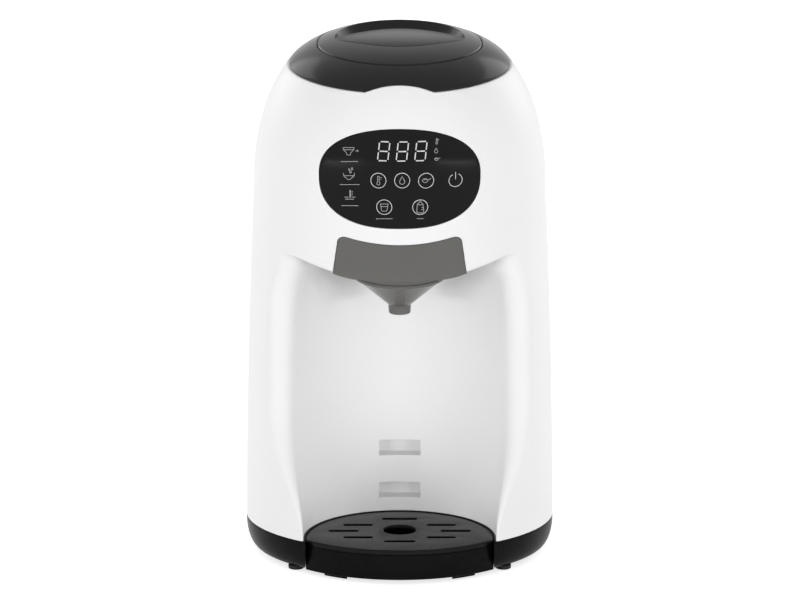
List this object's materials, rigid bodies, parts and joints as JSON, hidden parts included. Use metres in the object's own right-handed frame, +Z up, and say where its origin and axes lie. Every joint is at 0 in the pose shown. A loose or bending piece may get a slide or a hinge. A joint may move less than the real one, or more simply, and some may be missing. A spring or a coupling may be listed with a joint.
{
  "type": "baby formula maker",
  "caption": "Countertop formula maker with a bottle bay under a funnel drawer, powder hopper, drip tray and rear water tank.",
  "frame": {"origin": "on the surface it stands on, below the middle of its whole width and depth", "axes": "+Z up, -Y towards the user (the bottle bay and the panel), +X to the right seen from the front"},
  "size_m": [0.2, 0.2282, 0.3474],
  "materials": {
    "white_shell": "satin white",
    "black_base": "fine matte black",
    "dark_lid": "satin near-black",
    "touch_panel": "gloss black",
    "smoky_plastic": "smoky, slightly see-through",
    "clear_plastic": "clear with a light tint",
    "grey_plastic": "moulded grey",
    "white_plastic": "moulded white",
    "black_plastic": "moulded black",
    "rubber_black": "matte",
    "silicone": "translucent matte",
    "steel": "bright",
    "heater_metal": "cast, satin",
    "board_green": "solder-masked",
    "copper": "bright"
  },
  "bodies": {
    "machine": {"front_shell": "white_shell", "rear_shell": "white_shell", "display_panel": "touch_panel", "control_board": "board_green", "display_module": "black_plastic", "base_pan": "black_base", "base_screw_1": "steel", "base_screw_2": "steel", "base_screw_3": "steel", "base_screw_4": "steel", "foot_front_left": "rubber_black", "foot_front_right": "rubber_black", "foot_rear_left": "rubber_black", "foot_rear_right": "rubber_black", "tank_dock": "black_base", "dock_seal": "silicone", "power_inlet": "black_plastic", "inner_frame": "grey_plastic", "head_deck": "grey_plastic", "hopper_seat": "white_plastic", "gearbox_cover": "grey_plastic", "idler_pin": "steel", "drive_motor": "steel", "powder_chute": "white_plastic", "water_nozzle": "grey_plastic", "funnel_rail_left": "white_plastic", "funnel_rail_right": "white_plastic", "funnel_sensor": "black_plastic", "water_pump": "black_plastic", "heater": "heater_metal", "temperature_sensor": "copper", "tank_hose": "silicone", "pump_hose": "silicone", "nozzle_hose": "silicone", "power_board": "board_green"},
    "hopper": {"powder_container": "clear_plastic", "shaft_seal": "rubber_black", "powder_plate": "white_plastic"},
    "lid": {"lid": "dark_lid", "lid_cap": "dark_lid", "lid_seal": "silicone"},
    "dosing_wheel": {"metering_wheel": "white_plastic", "stirrer": "white_plastic", "wheel_shaft": "steel"},
    "output_drive": {"output_gear": "grey_plastic", "drive_coupling": "steel"},
    "idler": {"idler_gear": "grey_plastic"},
    "pinion": {"motor_pinion": "steel"},
    "funnel": {"funnel_holder": "smoky_plastic", "funnel_cone": "smoky_plastic", "funnel_magnet": "steel"},
    "tray": {"drip_tray": "black_base"},
    "grate": {"tray_grate": "dark_lid"},
    "tank": {"water_tank": "clear_plastic", "tank_hinge_pin": "steel", "valve_cage": "grey_plastic"},
    "tank_cover": {"tank_lid": "dark_lid"},
    "valve_poppet": {"tank_valve": "rubber_black", "valve_spring": "steel"}
  },
  "joints": [
    {"name": "hopper_lift", "type": "slide", "parent": "machine", "child": "hopper", "axis": [0, 0, 1], "range_m": [0, 0.1]},
    {"name": "lid_lift", "type": "slide", "parent": "hopper", "child": "lid", "axis": [0, 0, 1], "range_m": [0, 0.04]},
    {"name": "wheel_spin", "type": "hinge", "parent": "hopper", "child": "dosing_wheel", "pos_m": [0, -0.02605, 0.253], "axis": [0, 0, 1], "continuous": true},
    {"name": "output_spin", "type": "hinge", "parent": "machine", "child": "output_drive", "pos_m": [0, -0.02605, 0.227], "axis": [0, 0, 1], "continuous": true},
    {"name": "idler_spin", "type": "hinge", "parent": "machine", "child": "idler", "pos_m": [-0.02681, -0.00355, 0.227], "axis": [0, 0, 1], "continuous": true},
    {"name": "pinion_spin", "type": "hinge", "parent": "machine", "child": "pinion", "pos_m": [-0.02681, 0.01645, 0.227], "axis": [0, 0, 1], "continuous": true},
    {"name": "funnel_pull", "type": "slide", "parent": "machine", "child": "funnel", "axis": [0, -1, 0], "range_m": [0, 0.1]},
    {"name": "tray_pull", "type": "slide", "parent": "machine", "child": "tray", "axis": [0, -1, 0], "range_m": [0, 0.12]},
    {"name": "grate_lift", "type": "slide", "parent": "tray", "child": "grate", "axis": [0, 0, 1], "range_m": [0, 0.03]},
    {"name": "tank_lift", "type": "slide", "parent": "machine", "child": "tank", "axis": [0, 0, 1], "range_m": [0, 0.05]},
    {"name": "tank_cover_hinge", "type": "hinge", "parent": "tank", "child": "tank_cover", "pos_m": [0, 0.11105, 0.239], "axis": [-1, 0, 0], "range_deg": [0, 100]},
    {"name": "valve_travel", "type": "slide", "parent": "tank", "child": "valve_poppet", "axis": [0, 0, 1], "range_m": [0, 0.003], "stiffness_N_per_m": 90, "springref_m": -0.004, "deforming": ["valve_spring"]}
  ],
  "couplings": [
    {"joint": "output_spin", "follows": "wheel_spin", "ratio": 1},
    {"joint": "idler_spin", "follows": "wheel_spin", "ratio": -1.3333},
    {"joint": "pinion_spin", "follows": "wheel_spin", "ratio": 4}
  ]
}
